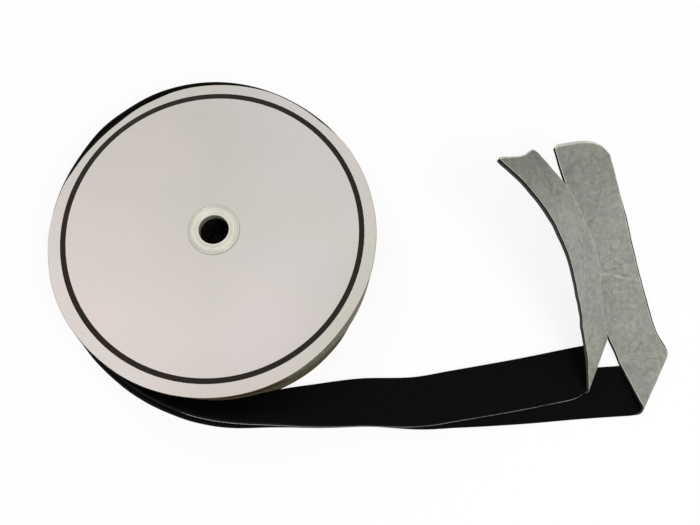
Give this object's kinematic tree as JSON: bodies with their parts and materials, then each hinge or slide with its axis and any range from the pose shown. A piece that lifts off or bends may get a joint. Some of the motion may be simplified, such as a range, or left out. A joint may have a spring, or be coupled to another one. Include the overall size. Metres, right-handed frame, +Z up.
{
  "type": "hook and loop tape roll",
  "caption": "Reel of black hook and loop tape on a card core with card discs and flanged bushes, lying flat, both lined strips run out to one side and folded over.",
  "frame": {"origin": "centre of the underside of everything, at table height", "axes": "+Z up along the reel's axis; +X the way the strips run out; +Y from the lead towards the folded ends"},
  "size_m": [0.6198, 0.3556, 0.139],
  "materials": {
    "bush_plastic": "moulded plastic, satin, warm white",
    "disc_card": null,
    "core_card": null,
    "hook_tape": "black woven polyamide with fine hooks",
    "loop_tape": "black brushed polyamide loops",
    "release_liner": "mottled grey release paper over adhesive, slightly shiny"
  },
  "bodies": {
    "roll": {"core_tube": "core_card", "bush_back": "bush_plastic", "bush_front": "bush_plastic", "wound_pack": "hook_tape", "hook_tape_turn": "hook_tape", "hook_tape_lead": "hook_tape", "hook_tape_end": "hook_tape", "hook_liner_turn": "release_liner", "hook_liner_lead": "release_liner", "hook_liner_end": "release_liner", "loop_tape_turn": "loop_tape", "loop_tape_lead": "loop_tape", "loop_tape_end": "loop_tape", "loop_liner_turn": "release_liner", "loop_liner_lead": "release_liner", "loop_liner_end": "release_liner"},
    "front_cover": {"front_disc": "disc_card"},
    "back_cover": {"back_disc": "disc_card"}
  },
  "joints": [
    {"name": "front_disc_spin", "type": "hinge", "parent": "roll", "child": "front_cover", "pos_m": [-0.14859, 0.01331, 0.0558], "axis": [0, 0, 1], "continuous": true},
    {"name": "back_disc_spin", "type": "hinge", "parent": "roll", "child": "back_cover", "pos_m": [-0.14859, 0.01331, 0.0036], "axis": [0, 0, 1], "continuous": true}
  ]
}
